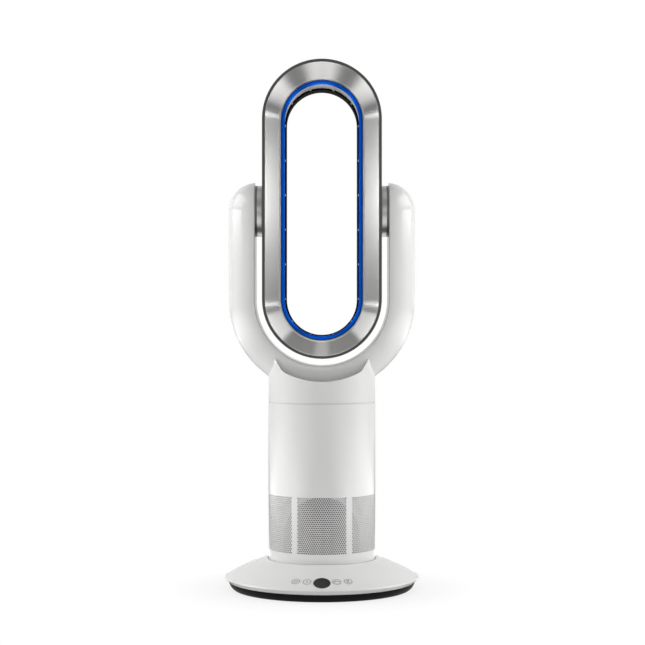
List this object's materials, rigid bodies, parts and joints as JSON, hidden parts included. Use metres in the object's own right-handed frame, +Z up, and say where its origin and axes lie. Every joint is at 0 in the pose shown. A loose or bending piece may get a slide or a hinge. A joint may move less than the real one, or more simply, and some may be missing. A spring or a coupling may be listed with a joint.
{
  "type": "bladeless fan",
  "caption": "Upright bladeless fan: a long air loop tilts in a yoke on a swinging column with a perforated intake, over a round base with keys and a display.",
  "frame": {"origin": "on the floor under the column's axis, level with the feet's undersides", "axes": "+Z up along the column's axis, -Y the front with keys and display, +X to the right seen from the front"},
  "size_m": [0.26, 0.26, 0.7009],
  "materials": {
    "white_gloss": "gloss",
    "white_satin": "satin",
    "black_gloss": "gloss",
    "black_matte": "matt",
    "iron_grey": "satin",
    "silver_satin": "satin",
    "hub_grey": "satin",
    "band_grey": "satin",
    "blue_metallic": "gloss",
    "liner_grey": "satin",
    "smoke_window": "gloss",
    "steel": "bright",
    "cast_weight": "rough",
    "rubber": "matt",
    "board_green": "satin",
    "acetal": "satin"
  },
  "bodies": {
    "base": {"base_pan": "black_gloss", "rubber_feet": "rubber", "base_screws": "steel", "base_cover": "white_gloss", "cord_gland": "rubber", "ballast_ring": "cast_weight", "power_board": "board_green", "control_board": "board_green", "tact_switches": "black_matte", "display_module": "black_matte", "display_window": "smoke_window", "display_ring": "white_gloss", "swing_motor": "steel", "slide_ring": "acetal"},
    "column": {"turntable": "black_matte", "spindle_clip": "steel", "swing_gear": "acetal", "column_screws": "steel", "column_housing": "white_gloss", "inlet_cone": "white_satin", "impeller_shroud": "black_matte", "diffuser": "black_matte", "fan_motor": "steel", "motor_mounts": "rubber", "duct_splitter": "black_matte", "yoke_front_shell": "white_gloss", "yoke_rear_shell": "white_gloss", "yoke_inner_cover": "white_gloss", "yoke_screws": "steel", "tilt_bushes": "band_grey"},
    "head": {"loop_side_shell": "iron_grey", "loop_back_cover": "iron_grey", "front_bezel": "silver_satin", "blue_trim": "blue_metallic", "inner_liner": "liner_grey", "nozzle_ring": "black_matte", "trunnions": "hub_grey", "tilt_washers": "acetal", "tilt_clips": "steel"},
    "rotor": {"impeller": "black_matte", "motor_shaft": "steel", "impeller_nut": "steel"},
    "pinion": {"swing_pinion": "acetal"},
    "power_key": {"key_power": "white_gloss"},
    "mode_key": {"key_mode": "white_gloss"},
    "swing_key": {"key_swing": "white_gloss"},
    "timer_key": {"key_timer": "white_gloss"}
  },
  "joints": [
    {"name": "swing", "type": "hinge", "parent": "base", "child": "column", "pos_m": [0, 0, 0.0365], "axis": [0, 0, 1], "range_deg": [-40, 40]},
    {"name": "tilt", "type": "hinge", "parent": "column", "child": "head", "pos_m": [0, 0, 0.5044], "axis": [1, 0, 0], "range_deg": [-60, 60]},
    {"name": "fan_spin", "type": "hinge", "parent": "column", "child": "rotor", "pos_m": [0, 0, 0.166], "axis": [0, 0, 1], "continuous": true},
    {"name": "pinion_spin", "type": "hinge", "parent": "base", "child": "pinion", "pos_m": [0, 0.054, 0.024], "axis": [0, 0, 1], "range_deg": [-200, 200]},
    {"name": "press_power", "type": "slide", "parent": "base", "child": "power_key", "axis": [0.131, 0.4344, -0.8911], "range_m": [0, 0.0008], "stiffness_N_per_m": 900, "springref_m": -0.0002},
    {"name": "press_mode", "type": "slide", "parent": "base", "child": "mode_key", "axis": [0.075, 0.4475, -0.8911], "range_m": [0, 0.0008], "stiffness_N_per_m": 900, "springref_m": -0.0002},
    {"name": "press_swing", "type": "slide", "parent": "base", "child": "swing_key", "axis": [-0.0742, 0.4477, -0.8911], "range_m": [0, 0.0008], "stiffness_N_per_m": 900, "springref_m": -0.0002},
    {"name": "press_timer", "type": "slide", "parent": "base", "child": "timer_key", "axis": [-0.1318, 0.4342, -0.8911], "range_m": [0, 0.0008], "stiffness_N_per_m": 900, "springref_m": -0.0002}
  ],
  "couplings": [
    {"joint": "pinion_spin", "follows": "swing", "ratio": -5}
  ]
}
